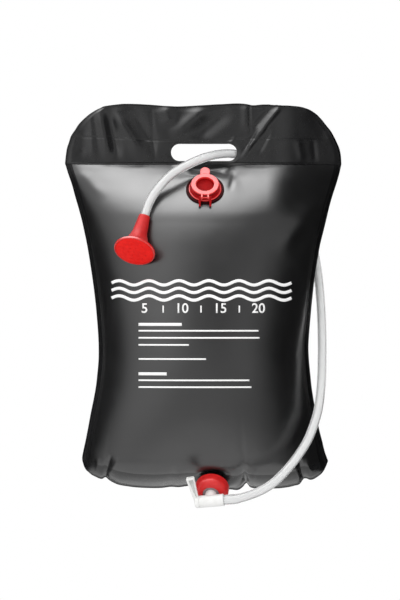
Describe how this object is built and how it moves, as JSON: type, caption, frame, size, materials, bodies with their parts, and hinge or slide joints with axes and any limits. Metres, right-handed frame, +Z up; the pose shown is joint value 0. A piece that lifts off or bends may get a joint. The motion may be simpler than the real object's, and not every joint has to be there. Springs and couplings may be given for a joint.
{
  "type": "camp shower bag",
  "caption": "Filled hanging water bag with a handle slot, plug-capped filler, screw collar with a lever tap, clear hose and shower head.",
  "frame": {"origin": "middle of the handle slot's upper edge, where the bag hangs", "axes": "+Z up along the hanging bag, -Y out of the front with the filler and the tap, +X to the right as the front is seen"},
  "size_m": [0.397, 0.2222, 0.5791],
  "materials": {
    "black_pvc": "soft sheet with a satin gloss",
    "dark_red_plastic": "gloss moulding",
    "red_plastic": "satin moulding",
    "white_plastic": "satin moulding",
    "rubber": "matte",
    "clear_pvc": "clear flexible tube"
  },
  "bodies": {
    "bag": {"front_panel": "black_pvc", "back_panel": "black_pvc", "filler_flange": "dark_red_plastic", "filler_hinge_pin": "red_plastic", "outlet_flange": "black_pvc", "outlet_gasket": "rubber", "tap_body": "white_plastic", "hose": "clear_pvc", "shower_head_body": "red_plastic", "shower_head_face": "red_plastic"},
    "filler_cap": {"filler_cap": "red_plastic", "filler_seal": "rubber"},
    "collar": {"outlet_collar": "red_plastic"},
    "tap_lever": {"tap_plug": "white_plastic", "tap_plug_seal": "rubber", "tap_lever": "white_plastic"}
  },
  "joints": [
    {"name": "filler_cap_hinge", "type": "hinge", "parent": "bag", "child": "filler_cap", "pos_m": [0.0015, -0.07128, -0.07838], "axis": [1, 0, 0], "range_deg": [0, 130]},
    {"name": "collar_turn", "type": "hinge", "parent": "bag", "child": "collar", "pos_m": [0.0134, -0.042, -0.4855], "axis": [-0.114, -0.8112, -0.5736], "range_deg": [0, 540]},
    {"name": "tap_lever_turn", "type": "hinge", "parent": "bag", "child": "tap_lever", "pos_m": [0.00818, -0.07915, -0.51177], "axis": [0.9765, -0.1978, 0.0856], "range_deg": [0, 90]}
  ]
}
